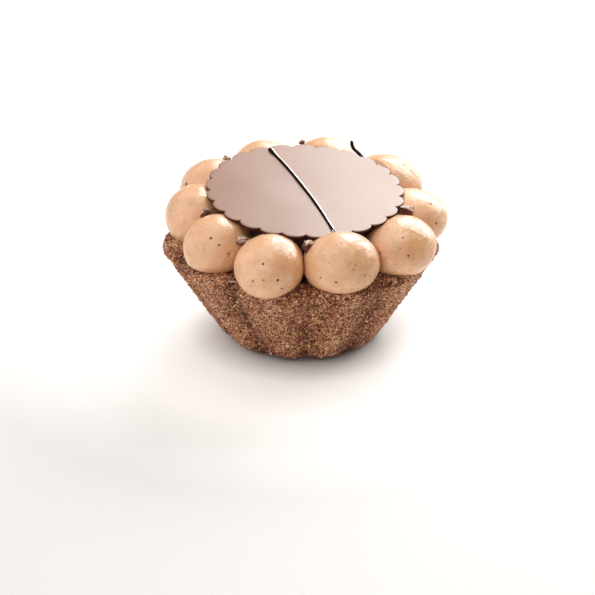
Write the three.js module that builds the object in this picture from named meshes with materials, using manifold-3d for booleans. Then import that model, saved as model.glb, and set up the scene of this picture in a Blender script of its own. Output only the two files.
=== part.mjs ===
// A small round chocolate tart: a fluted crumb shell filled with dark chocolate,
// a ring of ten uneven piped cream balls with chips of cocoa nib caught between
// them, and a thin scalloped milk-chocolate disc that leans on the balls and
// carries one fine thread of dark chocolate.
// Millimetres, +Z up. The origin is the centre of the shell's flat underside, and
// azimuths are measured from the front, -Y, towards the right, +X.

import * as THREE from 'three';
import { mergeVertices } from 'three/addons/utils/BufferGeometryUtils.js';
import Module from 'manifold-3d';

const wasm = await Module();
wasm.setup();

// ---------------------------------------------------------------- dimensions

const GAP = 0.3; // clearance between pieces that touch

const SHELL_HEIGHT = 27.2;
const RIM_RADIUS = 35.2; // where the rim begins to round, mean of crests and valleys
const BASE_RADIUS = 19.4;
const BASE_FILLET = 3.7; // rounding between the underside and the wall
const WALL_LEVELS = [0, 0.5, 1.5, BASE_FILLET, 7.5, 11.5, 15.5, 19.5]; // heights with a ring of points
const WALL_THICKNESS = 8.6;
const FLOOR_THICKNESS = 5;
const FLOOR_ROUNDING = 1.5;
const RIM_ROUNDING = 2; // outside; the inner edge has a third of it
const RIM_STEPS = 3; // facets over the rounding
const RIM_LEFT_RISE = 1.4; // how much higher the rim stands at the left
const RIM_WAVE = 0.2; // how unevenly high the rim is
const RIM_SHIFT = -0.6; // how far the rim stands off centre, along X
const FLUTES = 11;
const FLUTE_SEGMENTS = 8;
const FLUTE_VALLEY_AZIMUTH = 3;
const FLUTE_DEPTH_RIM = 2.5;
const FLUTE_DEPTH_BASE = 1.6;
const FLUTE_CREST_SHARE = 0.35; // of the depth, how much stands outside the mean
const CREST_BREADTH = 0.8; // below 1 the crests are broader and the valleys tighter
const FLUTE_FADING = [1, 0.95, 0.8, 0.5]; // how the flutes run out over the rim's rounding

const FILLING_DROP = 1.2; // filling's edge below the rim
const FILLING_DOME = 0.6; // filling's middle above its edge
const FILLING_SEGMENTS = 44;
const FILLING_CLEARANCE = GAP + 0.1; // its wall has fewer sides than the cavity's

const CREAM_SETTLE = 1.625; // a ball's height on the rim, in half heights of the whole round
const CREAM_SEGMENTS = 24;
const CREAM_ROWS = 13;
const SEAT_SEGMENTS = 40;
const SEAT_DEPTH = 8; // how far down the seat is cut free

// Each ball: where it sits, its width along the ring, its depth across the ring,
// and how tall it stands above the rim. turn twists its long side off the ring.
const CREAM_BALLS = [
  { name: 'cream_01', azimuth: -90, reach: 27.4, width: 17.8, depth: 16.4, tall: 13.5, turn: 0 },
  { name: 'cream_02', azimuth: -53, reach: 27.2, width: 16.4, depth: 19, tall: 12.8, turn: 12 },
  { name: 'cream_03', azimuth: -16.5, reach: 29.7, width: 17.1, depth: 20.4, tall: 12.8, turn: 0 },
  { name: 'cream_04', azimuth: 20, reach: 28.4, width: 19.2, depth: 18.6, tall: 12.9, turn: -5 },
  { name: 'cream_05', azimuth: 59, reach: 29.2, width: 17.6, depth: 18, tall: 11.6, turn: 0, settle: 1.5 },
  { name: 'cream_06', azimuth: 92.5, reach: 27.8, width: 17.4, depth: 20, tall: 11.6, turn: -15 },
  { name: 'cream_07', azimuth: 131, reach: 28.8, width: 19.6, depth: 19.4, tall: 13.3, turn: 0 },
  { name: 'cream_08', azimuth: 168, reach: 29, width: 17.5, depth: 17.2, tall: 14.1, turn: 0 },
  { name: 'cream_09', azimuth: 201, reach: 29, width: 16.6, depth: 16.2, tall: 13.9, turn: 0 },
  { name: 'cream_10', azimuth: 235, reach: 28.6, width: 17.5, depth: 17.4, tall: 13.3, turn: 0 },
];

// Chips of cocoa nib: the ball that holds the chip, its middle and its size.
const NIBS = [
  { on: 'cream_01', at: [-25, -7.2, 36.9], size: [3, 2.8, 3.2] },
  { on: 'cream_02', at: [-15.4, -21.3, 36], size: [4.4, 3, 2.8] },
  { on: 'cream_04', at: [1.1, -26.2, 36.5], size: [3.2, 3.2, 4.2] },
  { on: 'cream_06', at: [26.4, -4.8, 37.1], size: [4.4, 3.4, 3.6] },
  { on: 'cream_08', at: [0.2, 29.9, 40], size: [2.4, 2.6, 3.2] },
  { on: 'cream_10', at: [-19.7, 20.6, 39.4], size: [2.6, 2.4, 2.6] },
];
const NIB_RAGGEDNESS = 0.22;

// One curled shaving, standing up from the ball at the right of the back.
const SHAVING_ON = 'cream_07';
const SHAVING_PATH = [
  [17.4, 23, 37],
  [15.2, 24.9, 38.9],
  [13.5, 26.3, 40.2],
  [12.9, 26.8, 42.2],
];
const SHAVING_WIDTH = 1.4;
const SHAVING_THICKNESS = 0.7;
const SHAVING_STEPS = 6;

const DISC_RADIUS = 25.8; // to the tips of the scallops
const DISC_THICKNESS = 0.8;
const DISC_CENTRE = [0.6, 0.3, 40.4]; // middle of the upper face
const DISC_LEAN_FORWARD = 2.35; // degrees, the front edge is the low one
const DISC_LEAN_RIGHT = 2.6; // degrees, the right edge is the low one
const SCALLOPS = 25;
const SCALLOP_DEPTH = 1.3;
const SCALLOP_POINTS = 6;
const SCALLOP_TIP_ANGLE = 4.3; // degrees from +X
const DISC_ROOM_HEIGHT = 8; // how far up the cream is cut free of the disc
const DISC_ROOM_SEGMENTS = 60;

// The thread, in the disc's own plane.
const THREAD_PATH = [
  [-9.4, 22.8],
  [-3.9, 8.7],
  [1.4, -6.2],
  [7.2, -22.6],
];
const THREAD_WIDTH = 1;
const THREAD_HEIGHT = 0.55;
const THREAD_SUNK = 0.15; // how deep its section reaches into the disc
const THREAD_STEPS = 10;

const ROUND_SECTION_SEGMENTS = 3; // in each half of the thread's and the shaving's section

// ----------------------------------------------------------------- materials

const material = (color, roughness) => new THREE.MeshStandardMaterial({ color, roughness, metalness: 0 });
const SHELL_MATERIAL = material(0x6f4630, 0.95);
const FILLING_MATERIAL = material(0x3a2115, 0.55);
const CREAM_MATERIAL = material(0xe0b58c, 0.6);
const DISC_MATERIAL = material(0xb08872, 0.25);

// ------------------------------------------------------------------- helpers

const radians = THREE.MathUtils.degToRad;
const onRing = (azimuth, reach, z) =>
  new THREE.Vector3(reach * Math.sin(radians(azimuth)), -reach * Math.cos(radians(azimuth)), z);

// A repeatable stream of numbers between 0 and 1.
function randomStream(seed) {
  let state = seed;
  return () => {
    state = (state * 1664525 + 1013904223) % 4294967296;
    return state / 4294967296;
  };
}

// A closed three.js geometry as a solid: only positions, shared corners merged,
// and the slivers at a lathe's axis dropped.
function toSolid(geometry) {
  const bare = geometry.clone();
  bare.deleteAttribute('normal');
  bare.deleteAttribute('uv');
  const merged = mergeVertices(bare, 1e-4);
  const index = merged.getIndex().array;
  const triangles = [];
  for (let i = 0; i < index.length; i += 3) {
    const [a, b, c] = [index[i], index[i + 1], index[i + 2]];
    if (a !== b && b !== c && c !== a) triangles.push(a, b, c);
  }
  return new wasm.Manifold(
    new wasm.Mesh({
      numProp: 3,
      vertProperties: new Float32Array(merged.getAttribute('position').array),
      triVerts: new Uint32Array(triangles),
    }),
  );
}

function toMesh(name, solid, meshMaterial) {
  const { vertProperties, triVerts } = solid.getMesh();
  const geometry = new THREE.BufferGeometry();
  geometry.setAttribute('position', new THREE.BufferAttribute(new Float32Array(vertProperties), 3));
  geometry.setIndex(new THREE.BufferAttribute(new Uint32Array(triVerts), 1));
  geometry.computeVertexNormals();
  const mesh = new THREE.Mesh(geometry, meshMaterial);
  mesh.name = name;
  return mesh;
}

// --------------------------------------------------------------------- shell

// The mean outer radius at a height: a cone, rounded off at its foot.
function outerRadius(z) {
  const t = THREE.MathUtils.clamp(z / (SHELL_HEIGHT - RIM_ROUNDING), 0, 1);
  const wall = THREE.MathUtils.lerp(BASE_RADIUS, RIM_RADIUS, t);
  const inFillet = THREE.MathUtils.clamp(1 - z / BASE_FILLET, 0, 1);
  return wall - BASE_FILLET * (1 - Math.sqrt(1 - inFillet * inFillet));
}

// How far the outside stands off its mean radius: round crests, tight valleys.
function flute(azimuth, z) {
  const t = THREE.MathUtils.clamp(z / SHELL_HEIGHT, 0, 1);
  const depth = THREE.MathUtils.lerp(FLUTE_DEPTH_BASE, FLUTE_DEPTH_RIM, t);
  const crest = Math.abs(Math.sin((FLUTES * (azimuth - radians(FLUTE_VALLEY_AZIMUTH))) / 2));
  return depth * (Math.pow(crest, CREST_BREADTH) - (1 - FLUTE_CREST_SHARE));
}

// How much higher than SHELL_HEIGHT the rim stands: it climbs towards the left, and
// it wavers a little, in one slow wave and one quick one.
const rimRise = (azimuth) =>
  RIM_LEFT_RISE * ((1 - Math.sin(azimuth)) / 2) ** 2 +
  RIM_WAVE * (0.6 * Math.sin(3 * azimuth + 0.8) + 0.4 * Math.sin(7 * azimuth + 2.1));

// What follows the uneven bowl: the higher and further out a point lies, the more
// it moves with the rim.
function followRim(geometry) {
  const position = geometry.getAttribute('position');
  for (let i = 0; i < position.count; i++) {
    const [x, y, z] = [position.getX(i), position.getY(i), position.getZ(i)];
    const height = z / SHELL_HEIGHT;
    const outward = Math.hypot(x, y) / RIM_RADIUS;
    const rise = outward * height ** 2 * rimRise(Math.atan2(x, -y));
    position.setXYZ(i, x + RIM_SHIFT * height, y, z + rise);
  }
  return geometry;
}

// A section turned about Z. Each point has a radius and a height.
function lathe(points, segments, start = 0) {
  const profile = points.map(({ r, z }) => new THREE.Vector2(r, z));
  return new THREE.LatheGeometry(profile, segments, start).rotateX(Math.PI / 2);
}

// A quarter round over the rim's outer edge, clearance outside it.
function rimShoulder(clearance) {
  const points = [];
  for (let step = 0; step <= RIM_STEPS; step++) {
    const angle = radians((90 * step) / RIM_STEPS);
    points.push({
      r: RIM_RADIUS - RIM_ROUNDING + (RIM_ROUNDING + clearance) * Math.cos(angle),
      z: SHELL_HEIGHT - RIM_ROUNDING + (RIM_ROUNDING + clearance) * Math.sin(angle),
    });
  }
  return points;
}

const cavityRadius = (z) => outerRadius(z) - WALL_THICKNESS;

// The section from the middle of the underside, out, up, over the rim and down the
// cavity. flutes says how much of the flute a point takes.
function shellSection() {
  const points = [{ r: 0, z: 0, flutes: 0 }];
  for (const z of WALL_LEVELS) points.push({ r: outerRadius(z), z, flutes: 1 });
  rimShoulder(0).forEach((point, i) => points.push({ ...point, flutes: FLUTE_FADING[i] }));
  const innerRounding = RIM_ROUNDING / 3;
  const innerEdge = RIM_RADIUS - WALL_THICKNESS;
  points.push({ r: innerEdge + innerRounding, z: SHELL_HEIGHT, flutes: 0 });
  for (const z of [SHELL_HEIGHT - innerRounding, SHELL_HEIGHT / 2, FLOOR_THICKNESS + FLOOR_ROUNDING]) {
    points.push({ r: cavityRadius(z), z, flutes: 0 });
  }
  points.push({ r: cavityRadius(FLOOR_THICKNESS) - FLOOR_ROUNDING, z: FLOOR_THICKNESS, flutes: 0 });
  points.push({ r: 0, z: FLOOR_THICKNESS, flutes: 0 });
  return points;
}

function shellSolid() {
  const section = shellSection();
  const geometry = lathe(section, FLUTES * FLUTE_SEGMENTS, radians(FLUTE_VALLEY_AZIMUTH));
  const position = geometry.getAttribute('position');
  for (let i = 0; i < position.count; i++) {
    const { r, z, flutes } = section[i % section.length];
    if (flutes === 0) continue;
    const azimuth = Math.atan2(position.getX(i), -position.getY(i));
    const scale = 1 + (flutes * flute(azimuth, z)) / r;
    position.setXY(i, position.getX(i) * scale, position.getY(i) * scale);
  }
  return toSolid(followRim(geometry));
}

// ------------------------------------------------------------------- filling

const fillingEdge = SHELL_HEIGHT - FILLING_DROP;

function fillingSolid() {
  const bottom = FLOOR_THICKNESS + GAP;
  const section = [
    { r: 0, z: bottom },
    { r: cavityRadius(FLOOR_THICKNESS) - FLOOR_ROUNDING - FILLING_CLEARANCE, z: bottom },
  ];
  for (const z of [FLOOR_THICKNESS + FLOOR_ROUNDING, SHELL_HEIGHT / 2, fillingEdge]) {
    section.push({ r: cavityRadius(z) - FILLING_CLEARANCE, z });
  }
  const edge = cavityRadius(fillingEdge) - FILLING_CLEARANCE;
  for (const share of [0.75, 0.5, 0.25, 0]) {
    section.push({ r: edge * share, z: fillingEdge + FILLING_DOME * (1 - share * share) });
  }
  return toSolid(followRim(lathe(section, FILLING_SEGMENTS)));
}

// ---------------------------------------------------------------------- disc

function discPlacement() {
  return new THREE.Matrix4()
    .makeTranslation(...DISC_CENTRE)
    .multiply(new THREE.Matrix4().makeRotationY(radians(DISC_LEAN_RIGHT)))
    .multiply(new THREE.Matrix4().makeRotationX(radians(DISC_LEAN_FORWARD)));
}

function discSolid() {
  const outline = new THREE.Shape();
  for (let scallop = 0; scallop < SCALLOPS; scallop++) {
    for (let step = 0; step < SCALLOP_POINTS; step++) {
      const across = step / SCALLOP_POINTS; // 0 is the notch before the scallop
      const round = Math.sqrt(1 - (2 * across - 1) ** 2);
      const radius = DISC_RADIUS - SCALLOP_DEPTH * (1 - round);
      const angle = radians(SCALLOP_TIP_ANGLE) + ((scallop + across - 0.5) * 2 * Math.PI) / SCALLOPS;
      const x = radius * Math.cos(angle);
      const y = radius * Math.sin(angle);
      if (scallop + step === 0) outline.moveTo(x, y);
      else outline.lineTo(x, y);
    }
  }
  outline.closePath();
  const plate = new THREE.ExtrudeGeometry(outline, { depth: DISC_THICKNESS, bevelEnabled: false });
  plate.translate(0, 0, -DISC_THICKNESS);

  const section = new THREE.Shape();
  section.absellipse(0, 0, THREAD_HEIGHT, THREAD_WIDTH / 2, 0, 2 * Math.PI);
  const path = new THREE.CatmullRomCurve3(
    THREAD_PATH.map(([x, y]) => new THREE.Vector3(x, y, -THREAD_SUNK)),
  );
  const thread = new THREE.ExtrudeGeometry(section, {
    steps: THREAD_STEPS,
    curveSegments: ROUND_SECTION_SEGMENTS,
    extrudePath: path,
  });
  return toSolid(plate).add(toSolid(thread)).transform(discPlacement().toArray());
}

// The room that the disc presses into the cream: a plain round of its own size.
function discClearance() {
  const radius = DISC_RADIUS + GAP;
  const room = new THREE.CylinderGeometry(radius, radius, DISC_ROOM_HEIGHT, DISC_ROOM_SEGMENTS);
  room.rotateX(Math.PI / 2);
  room.translate(0, 0, DISC_ROOM_HEIGHT / 2 - DISC_THICKNESS - GAP);
  room.applyMatrix4(discPlacement());
  return toSolid(room);
}

// --------------------------------------------------------------------- cream

const halfHeight = (ball) => ball.tall / (ball.settle ?? CREAM_SETTLE);

function ballCentre(ball) {
  const top = SHELL_HEIGHT + GAP + ball.tall;
  return onRing(ball.azimuth, ball.reach, top - halfHeight(ball));
}

// What the balls settle on: the rim with its rounded edge, and the filling inside it.
function seatClearance() {
  const crest = FLUTE_CREST_SHARE * FLUTE_DEPTH_RIM;
  const shoulder = rimShoulder(GAP).map(({ r, z }) => ({ r: r + crest, z }));
  const inside = RIM_RADIUS - WALL_THICKNESS;
  const onFilling = fillingEdge + FILLING_DOME + GAP;
  const below = SHELL_HEIGHT - SEAT_DEPTH;
  const section = [
    { r: 0, z: below },
    { r: shoulder[0].r, z: below },
    ...shoulder,
    { r: inside, z: SHELL_HEIGHT + GAP },
    { r: inside, z: onFilling },
    { r: 0, z: onFilling },
  ];
  return toSolid(followRim(lathe(section, SEAT_SEGMENTS)));
}

function ballSolid(ball) {
  const sphere = new THREE.SphereGeometry(1, CREAM_SEGMENTS, CREAM_ROWS);
  sphere.rotateX(Math.PI / 2);
  sphere.scale(ball.width / 2, ball.depth / 2, halfHeight(ball));
  sphere.rotateZ(radians(ball.azimuth + ball.turn));
  sphere.translate(...ballCentre(ball).toArray());
  return toSolid(sphere);
}

// Everything beyond the flat face where a ball meets its neighbour.
function beyondContact(ball, neighbour) {
  const from = ballCentre(ball);
  const to = ballCentre(neighbour);
  const share = ball.width / (ball.width + neighbour.width);
  const face = from.clone().lerp(to, share);
  const direction = to.clone().sub(from).setZ(0).normalize();
  const size = 40;
  const block = new THREE.BoxGeometry(size, size, size);
  block.translate(size / 2 - GAP / 2, 0, 0);
  block.rotateZ(Math.atan2(direction.y, direction.x));
  block.translate(face.x, face.y, face.z);
  return toSolid(block);
}

function nibSolid(nib, random) {
  const chip = new THREE.IcosahedronGeometry(1, 0);
  const position = chip.getAttribute('position');
  const stretch = new Map();
  for (let i = 0; i < position.count; i++) {
    const corner = new THREE.Vector3().fromBufferAttribute(position, i);
    const key = corner.toArray().map((value) => value.toFixed(3)).join(' ');
    if (!stretch.has(key)) stretch.set(key, 1 + NIB_RAGGEDNESS * (2 * random() - 1));
    corner.multiplyScalar(stretch.get(key));
    position.setXYZ(i, corner.x, corner.y, corner.z);
  }
  chip.rotateZ(random() * Math.PI);
  chip.rotateX(random() * Math.PI);
  chip.scale(...nib.size.map((side) => side / 2));
  chip.translate(...nib.at);
  return toSolid(chip);
}

function shavingSolid() {
  const section = new THREE.Shape();
  section.absellipse(0, 0, SHAVING_WIDTH / 2, SHAVING_THICKNESS / 2, 0, 2 * Math.PI);
  const strip = new THREE.ExtrudeGeometry(section, {
    steps: SHAVING_STEPS,
    curveSegments: ROUND_SECTION_SEGMENTS,
    extrudePath: new THREE.CatmullRomCurve3(SHAVING_PATH.map((point) => new THREE.Vector3(...point))),
  });
  return toSolid(strip);
}

function creamSolid(index, cutters, random) {
  const ball = CREAM_BALLS[index];
  const count = CREAM_BALLS.length;
  let solid = ballSolid(ball);
  for (const step of [1, count - 1]) {
    solid = solid.subtract(beyondContact(ball, CREAM_BALLS[(index + step) % count]));
  }
  for (const cutter of cutters) solid = solid.subtract(cutter);
  for (const nib of NIBS.filter((item) => item.on === ball.name)) {
    solid = solid.add(nibSolid(nib, random));
  }
  if (ball.name === SHAVING_ON) solid = solid.add(shavingSolid());
  return solid;
}

// ------------------------------------------------------------------ the tart

const tart = new THREE.Group();
tart.add(toMesh('shell', shellSolid(), SHELL_MATERIAL));
tart.add(toMesh('filling', fillingSolid(), FILLING_MATERIAL));

const cutters = [seatClearance(), discClearance()];
const random = randomStream(7);
CREAM_BALLS.forEach((ball, index) => {
  tart.add(toMesh(ball.name, creamSolid(index, cutters, random), CREAM_MATERIAL));
});

tart.add(toMesh('disc', discSolid(), DISC_MATERIAL));

export default tart;
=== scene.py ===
# The looks of a small chocolate tart: a fluted shell of coarse cocoa crumb, dark
# filling, ten piped balls of chocolate cream, chips of cocoa nib and a scalloped
# disc of milk chocolate with one fine dark thread across it.
# Sizes are in millimetres until a mesh is made, and the lights and the camera are in
# metres. +Z is up, the front is -Y, and azimuths run from the front towards +X.

import math
from collections import namedtuple

import bmesh
import bpy
import numpy as np
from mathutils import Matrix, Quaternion, Vector


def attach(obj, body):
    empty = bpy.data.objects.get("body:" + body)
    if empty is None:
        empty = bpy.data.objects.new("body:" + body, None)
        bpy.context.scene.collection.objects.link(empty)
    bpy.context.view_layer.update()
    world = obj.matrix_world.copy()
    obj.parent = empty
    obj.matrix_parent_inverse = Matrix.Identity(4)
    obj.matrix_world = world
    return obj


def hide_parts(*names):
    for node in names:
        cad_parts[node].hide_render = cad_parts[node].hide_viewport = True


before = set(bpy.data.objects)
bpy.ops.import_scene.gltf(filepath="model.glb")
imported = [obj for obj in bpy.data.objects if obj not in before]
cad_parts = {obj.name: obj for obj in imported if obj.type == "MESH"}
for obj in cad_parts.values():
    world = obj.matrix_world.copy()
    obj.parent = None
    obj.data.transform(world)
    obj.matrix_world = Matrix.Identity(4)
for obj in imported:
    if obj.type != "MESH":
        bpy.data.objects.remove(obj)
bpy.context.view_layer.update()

MM = 0.001

# --------------------------------------------------------- shell and filling

GAP = 0.3  # between one solid and the next
SHELL_HEIGHT = 27.2
RIM_RADIUS = 35.2
BASE_RADIUS = 19.4
BASE_FILLET = 3.7
WALL_THICKNESS = 8.6
FLOOR_THICKNESS = 5
RIM_ROUNDING = 2
RIM_LEFT_RISE = 1.4  # how much higher the rim is at its left
RIM_WAVE = 0.2
RIM_SHIFT = -0.6  # of the rim over the foot, along X
FLUTES = 11
FLUTE_VALLEY_AZIMUTH = 3
FLUTE_DEPTH_RIM = 2.5
FLUTE_DEPTH_BASE = 1.6
FLUTE_CREST_SHARE = 0.35  # share of a flute's depth that stands out of the plain wall
CREST_BREADTH = 0.8  # less than 1 makes the crests broader than the valleys

SHELL_COLUMNS = 600
SHELL_WALL_ROWS = 76
UNDERSIDE_BELOW = 0.01  # what is lower than this is the underside
UNDERSIDE_RELIEF = 0.15  # how much of the relief the underside keeps
LEAST_HEIGHT = 0.02  # of everything else, so that nothing sinks into the floor
GRAINS_ON_RIM = 0.16  # share of the loose grains that lie on the rim

FILLING_DROP = 1.2
FILLING_DOME = 0.6
FILLING_GAP = 0.4  # between the filling and the wall
FILLING_COLUMNS = 180

CENTRE_RADIUS = 0.2  # of the small flat that closes a round surface at its axis

# --------------------------------------------------------------------- cream

CREAM_SETTLE = 1.625  # a ball's height on the rim, in half heights of the whole round
BALL_SQUEEZE = 0.4  # how far neighbours press into each other before they flatten
SETTLE = {"cream_05": 1.5}  # this one has settled more than the others
SQUEEZE = {"cream_05": 1.5}  # and presses more against its neighbours
CREAM_UNDER_DISC = 0.08  # room left between the cream and the disc's underside
CREAM_BESIDE_DISC = 0.1  # and round its edge

# A ball's azimuth and distance from the axis, its width along the rim and depth across
# it, how tall it stands on the rim, and how far it is turned.
Ball = namedtuple("Ball", "name azimuth reach width depth tall turn")
BALLS = [
    Ball("cream_01", -90, 27.4, 17.8, 16.4, 13.5, 0),
    Ball("cream_02", -53, 27.2, 16.4, 19, 12.8, 12),
    Ball("cream_03", -16.5, 29.7, 17.1, 20.4, 12.8, 0),
    Ball("cream_04", 20, 28.4, 19.2, 18.6, 12.9, -5),
    Ball("cream_05", 59, 29.2, 17.6, 18, 11.6, 0),
    Ball("cream_06", 92.5, 27.8, 17.4, 20, 11.6, -15),
    Ball("cream_07", 131, 28.8, 19.6, 19.4, 13.3, 0),
    Ball("cream_08", 168, 29, 17.5, 17.2, 14.1, 0),
    Ball("cream_09", 201, 29, 16.6, 16.2, 13.9, 0),
    Ball("cream_10", 235, 28.6, 17.5, 17.4, 13.3, 0),
]

# Directions on a ball are a turn from the front towards +X and a tilt above its
# middle, in degrees.

# Pits that show: the ball, the turn and tilt, and the radius in millimetres.
PITS = [
    ("cream_02", -14, 38, 0.35), ("cream_02", 3, 27, 0.3), ("cream_02", 21, 9, 0.7),
    ("cream_03", -11, 30, 0.3), ("cream_03", -24, 3, 0.22), ("cream_03", -8, 6, 0.22),
    ("cream_03", 13, 5, 0.35), ("cream_03", 20, -11, 0.28), ("cream_03", 104, 49, 0.2),
    ("cream_04", 0, 65, 0.2), ("cream_04", 63, 46, 0.2), ("cream_04", 63, 37, 0.18),
    ("cream_04", 67, 31, 0.18), ("cream_04", -33, 0, 0.22), ("cream_04", -8, -5, 0.28),
    ("cream_04", 20, 14, 0.18), ("cream_04", 16, 27, 0.16), ("cream_04", 26, 21, 0.16),
    ("cream_04", 40, 1, 0.22), ("cream_04", -29, 47, 0.12),
    ("cream_05", 5, 42, 0.25), ("cream_05", -34, 13, 0.25), ("cream_05", 12, 12, 0.3),
    ("cream_05", -8, 0, 0.15), ("cream_05", -2, 24, 0.12),
    ("cream_06", 59, 40, 0.25), ("cream_06", 46, 9, 0.3), ("cream_10", -61, 24, 0.4),
]
SHALLOW_PIT = 0.5  # pits of this radius and more are shallow and get less painted shade
SMALL_PITS = 12  # strewn on each ball
FROTH_PITS = 22  # in each patch of froth

# Patches of froth: the ball, the turn and tilt of the patch's middle, and its radius in degrees.
FROTH = [
    ("cream_01", -72, 37, 22), ("cream_02", -24, 19, 20), ("cream_03", 38, 56, 16),
    ("cream_04", 38, -2, 30), ("cream_05", -10, 23, 20), ("cream_05", 84, 2, 26), ("cream_06", 40, 22, 18),
    ("cream_07", 20, 30, 20), ("cream_10", -60, 20, 18),
]

# Folds in the cream: the ball, the turn and tilt of the fold's pole, degrees from that
# pole, the turn and tilt of the fold's middle, half its length in degrees, height in mm.
# The steep side of each faces away from its pole.
FOLDS = [
    ("cream_02", 140, 58, 51, 25, 67, 40, 0.09),
    ("cream_03", 26, 7, 58, 37, 60, 40, -0.06),
    ("cream_04", -9, 17, 65, 60, 37, 34, 0.06),
    ("cream_05", 147, 41, 69, 47, 46, 38, 0.14),
    ("cream_05", -171, 42, 133, 13, 0, 42, 0.08),
    ("cream_05", 54, 18, 64, -14, 22, 16, 0.06),
    ("cream_07", -28, 22, 59, -13, 79, 26, 0.16),
    ("cream_07", -23, 42, 52, 67, 74, 34, 0.18),
    ("cream_07", 117, 36, 38, 71, 36, 26, 0.16),
    ("cream_07", -8, 8, 55, 38, 44, 26, 0.14),
]
FOLD_GENTLE_SIDE = 1.3  # how far a fold runs out on each side
FOLD_STEEP_SIDE = 0.22

SIDE_SHADE_FACING = (48, 6)  # the turn and tilt of the cream's sides that get painted shade

# ------------------------------------------------------------------ toppings

DISC_RADIUS = 25.8
DISC_THICKNESS = 0.8
DISC_CENTRE = (0.6, 0.3, 40.4)
DISC_LEAN_FORWARD = 2.35
DISC_LEAN_RIGHT = 2.6
DISC_WARP = 0.035
SCALLOPS = 25
SCALLOP_DEPTH = 1.75
SCALLOP_TIP_ANGLE = 4.3  # degrees from +X
SCALLOP_COLUMNS = 24
# The section of the disc's rim: how far in from the outline, and how far down.
DISC_EDGE = [
    (0.5, 0.0), (0.16, 0.0), (0.05, 0.03), (0.0, 0.11), (0.0, 0.3),
    (0.0, 0.5), (0.0, 0.7), (0.06, 0.78), (0.3, 0.8),
]
BROKEN_AND_SHADED_BELOW = 0.15  # how far down the duller broken edge, also painted darker as shade, starts

# The thread's route over the disc, from back to front.
THREAD_PATH = [
    (-9.5, 22.5), (-4.7, 12.1), (-1.5, 4.2), (1.5, -3.7),
    (4.15, -11.5), (6.5, -19.2), (7.5, -22.6),
]
THREAD_RADIUS = 0.52
THREAD_SPLIT = 0.95  # share of its length where its front end splits
THREAD_SPREAD = (-0.34, 0.3)  # how far the two split ends spread sideways

# Chips: place, size, turn and lean. The last is a loose flake on the rim.
NIBS = [
    ((-25, -7.2, 37.1), (3, 2.6, 3.3), 20, 20),
    ((-15.1, -21.5, 36.35), (4.4, 3, 2.1), 8, -4),
    ((1.3, -26.7, 36.9), (2.9, 2.8, 4), 30, 12),
    ((26.4, -5.1, 37.1), (4.6, 3, 2.9), -8, 10),
    ((-0.1, 29.9, 40.3), (1.8, 1.5, 1.2), 20, -35),
    ((-19.7, 20.6, 39.6), (2.6, 2, 1.8), -20, 25),
    ((-17.7, -28.7, 28.1), (2.2, 0.7, 0.5), 12, 6),
]
NIB_CUTS = 5

SHAVING_PATH = [(17.4, 23, 37), (15.2, 24.9, 38.9), (13.5, 26.3, 40.2), (12.9, 26.8, 42.2)]
SHAVING_WIDTH = 1.2
SHAVING_THICKNESS = 0.6
SHAVING_SIDES = 16

# -------------------------------------------------- looks, stage and camera

GRAIN_SCALE = 2.3  # crumb grains to a millimetre
SAND_SCALE = 4.2  # finer grains to a millimetre

FLOOR_HALF_WIDTH = 6000
TART_MIDDLE = (0, 0, 0.03)
# Soft lights: name, place, size in metres, watts, roll in degrees, colour.
LIGHTS = [
    ("key", (0.3, 0.4495, 0.32), (0.61, 0.48), 6.5, 28, (1, 1, 1)),
    ("top", (0.05, 0.05, 0.8), (0.5, 0.5), 0.8, 0, (1, 0.94, 0.86)),
    ("fill", (-0.36, -0.5, 0.56), (0.4, 0.4), 0.2, 0, (1, 0.96, 0.9)),
]
SKY_BRIGHT_SIDE = (-0.72, -0.36, 0.59)
SKY_COLOUR = (1, 0.985, 0.97, 1)
# The sky's strength grows with the share of a direction that points at its bright side.
SKY_RANGE = {"From Min": 0.05, "From Max": 0.62, "To Min": 0.02, "To Max": 1.15}

PICTURE_WIDTH_PIXELS = 595
FOCAL_LENGTH_PIXELS = 4187.8
SENSOR_WIDTH = 36
CAMERA_AT = (-0.001318, -0.9812, 0.5063)
CAMERA_LOOKS_DOWN = 0.46896  # radians

# --------------------------------------------------------------------- noise

HASH_FACTORS = (374761393, 668265263, 2147483629)
HASH_SEED_FACTOR = 974634777
HASH_MIX = 1274126177


def lattice(cell, seed):
    """A repeatable number from -1 to 1 for each whole-number corner."""
    h = sum(cell[..., axis] * factor for axis, factor in enumerate(HASH_FACTORS)) + seed * HASH_SEED_FACTOR
    h = (h ^ (h >> 13)) & 0xFFFFFFFF
    h = (h * HASH_MIX) & 0xFFFFFFFF
    h = h ^ (h >> 16)
    return (h & 0xFFFF) / 32767.5 - 1


def noise(points, size, seed):
    """Smooth noise from -1 to 1 with lumps of about that size."""
    p = np.asarray(points, float) / size
    base = np.floor(p).astype(np.int64)
    f = p - base
    f = f * f * f * (f * (f * 6 - 15) + 10)
    total = np.zeros(len(p))
    for dx in (0, 1):
        for dy in (0, 1):
            for dz in (0, 1):
                corner = lattice(base + np.array([dx, dy, dz]), seed)
                wx = f[:, 0] if dx else 1 - f[:, 0]
                wy = f[:, 1] if dy else 1 - f[:, 1]
                wz = f[:, 2] if dz else 1 - f[:, 2]
                total += corner * wx * wy * wz
    return total


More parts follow.
